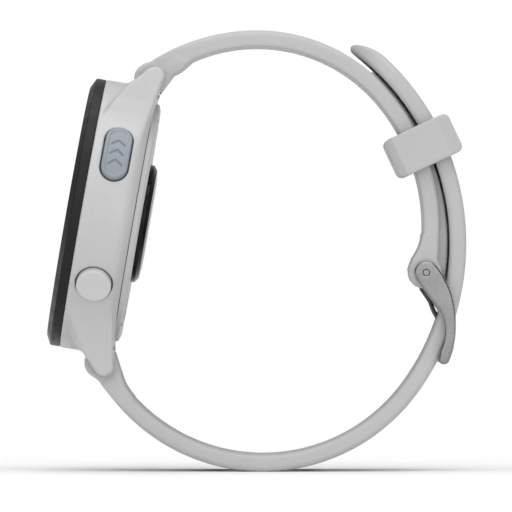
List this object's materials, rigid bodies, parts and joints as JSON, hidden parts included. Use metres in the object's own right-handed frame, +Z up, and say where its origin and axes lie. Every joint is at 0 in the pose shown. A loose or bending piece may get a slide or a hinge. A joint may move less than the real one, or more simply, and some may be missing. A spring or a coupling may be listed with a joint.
{
  "type": "gps running watch",
  "caption": "Round sports watch standing on its buckled silicone band, with five push buttons, rear heart-rate sensor, quick-release spring bars, sliding keeper and tang buckle.",
  "frame": {"origin": "centre of the bounding box's bottom, under the buckled band", "axes": "+X from the case to the buckle, +Y to the 9 o'clock side, +Z up"},
  "size_m": [0.0662, 0.044, 0.0696],
  "materials": {
    "case_polymer": "fine matte, fibre-reinforced",
    "black_polymer": "satin",
    "cover_glass": "polished",
    "display": "gloss",
    "sensor_lens": "gloss",
    "white_silicone": "matte, smooth",
    "seal_rubber": "matte",
    "run_cap": "satin",
    "round_cap": "satin",
    "buckle_steel": "satin, brushed",
    "bar_steel": "bright",
    "board_laminate": "solder mask",
    "chip_resin": "moulded",
    "battery_foil": "foil",
    "tray_polymer": "matte",
    "antenna_copper": "plated",
    "flex_film": "polyimide"
  },
  "bodies": {
    "root": {"case_housing": "case_polymer", "bezel": "black_polymer", "lens": "cover_glass", "lens_seal": "seal_rubber", "display_panel": "display", "display_carrier": "black_polymer", "display_flex": "flex_film", "gps_antenna": "antenna_copper", "main_board": "board_laminate", "board_chips": "chip_resin", "shield_can": "bar_steel", "battery": "battery_foil", "battery_tray": "tray_polymer", "vibration_motor": "bar_steel", "beeper": "black_polymer", "heart_rate_board": "board_laminate", "sensor_leds": "chip_resin", "sensor_flex": "flex_film", "sensor_window": "sensor_lens", "rear_cover": "case_polymer", "rear_gasket": "seal_rubber", "rear_screws": "bar_steel", "vent_membrane": "black_polymer", "charge_port": "black_polymer", "charge_contacts": "antenna_copper", "button_switches": "black_polymer", "button_seals": "seal_rubber", "lower_bar_tube": "bar_steel", "lower_bar_tip": "bar_steel", "lower_bar_spring": "bar_steel", "long_strap": "white_silicone"},
    "short_strap": {"short_strap": "white_silicone", "upper_bar_tube": "bar_steel", "upper_bar_tip": "bar_steel", "upper_bar_spring": "bar_steel", "buckle_pin": "buckle_steel"},
    "keeper": {"keeper_loop": "white_silicone"},
    "buckle": {"buckle_frame": "buckle_steel"},
    "tongue": {"buckle_tongue": "buckle_steel"},
    "upper_release": {"upper_bar_pin": "bar_steel"},
    "lower_release": {"lower_bar_pin": "bar_steel"},
    "run_button": {"run_button": "run_cap", "run_clip": "bar_steel"},
    "back_button": {"back_button": "round_cap", "back_clip": "bar_steel"},
    "light_button": {"light_button": "round_cap", "light_clip": "bar_steel"},
    "up_button": {"up_button": "round_cap", "up_clip": "bar_steel"},
    "down_button": {"down_button": "round_cap", "down_clip": "bar_steel"}
  },
  "joints": [
    {"name": "run_press", "type": "slide", "parent": "root", "child": "run_button", "axis": [-0.0818, 0.8805, -0.467], "range_m": [0, 0.0005], "stiffness_N_per_m": 3000},
    {"name": "back_press", "type": "slide", "parent": "root", "child": "back_button", "axis": [0.0858, 0.8678, 0.4895], "range_m": [0, 0.0005], "stiffness_N_per_m": 3000},
    {"name": "light_press", "type": "slide", "parent": "root", "child": "light_button", "axis": [-0.0876, -0.8616, -0.4999], "range_m": [0, 0.0005], "stiffness_N_per_m": 3000},
    {"name": "up_press", "type": "slide", "parent": "root", "child": "up_button", "axis": [0, -1, 0], "range_m": [0, 0.0005], "stiffness_N_per_m": 3000},
    {"name": "down_press", "type": "slide", "parent": "root", "child": "down_button", "axis": [0.0876, -0.8616, 0.4999], "range_m": [0, 0.0005], "stiffness_N_per_m": 3000},
    {"name": "strap_swing", "type": "hinge", "parent": "root", "child": "short_strap", "pos_m": [-0.01679, -0.00045, 0.062], "axis": [0, -1, 0], "range_deg": [-4, 5], "stiffness_Nm_per_rad": 3, "deforming": ["long_strap"]},
    {"name": "upper_release", "type": "slide", "parent": "short_strap", "child": "upper_release", "axis": [0, 1, 0], "range_m": [0, 0.0013], "stiffness_N_per_m": 1500, "deforming": ["upper_bar_spring"]},
    {"name": "lower_release", "type": "slide", "parent": "root", "child": "lower_release", "axis": [0, 1, 0], "range_m": [0, 0.0013], "stiffness_N_per_m": 1500, "deforming": ["lower_bar_spring"]},
    {"name": "keeper_slide", "type": "hinge", "parent": "short_strap", "child": "keeper", "pos_m": [-0.00385, -0.00045, 0.03861], "axis": [0, -1, 0], "range_deg": [-6, 10]},
    {"name": "buckle_swing", "type": "hinge", "parent": "short_strap", "child": "buckle", "pos_m": [0.0268, -0.00045, 0.03138], "axis": [0, -1, 0], "range_deg": [0, 4]},
    {"name": "tongue_lift", "type": "hinge", "parent": "buckle", "child": "tongue", "pos_m": [0.0268, -0.00045, 0.03138], "axis": [0, -1, 0], "range_deg": [0, 5]}
  ]
}
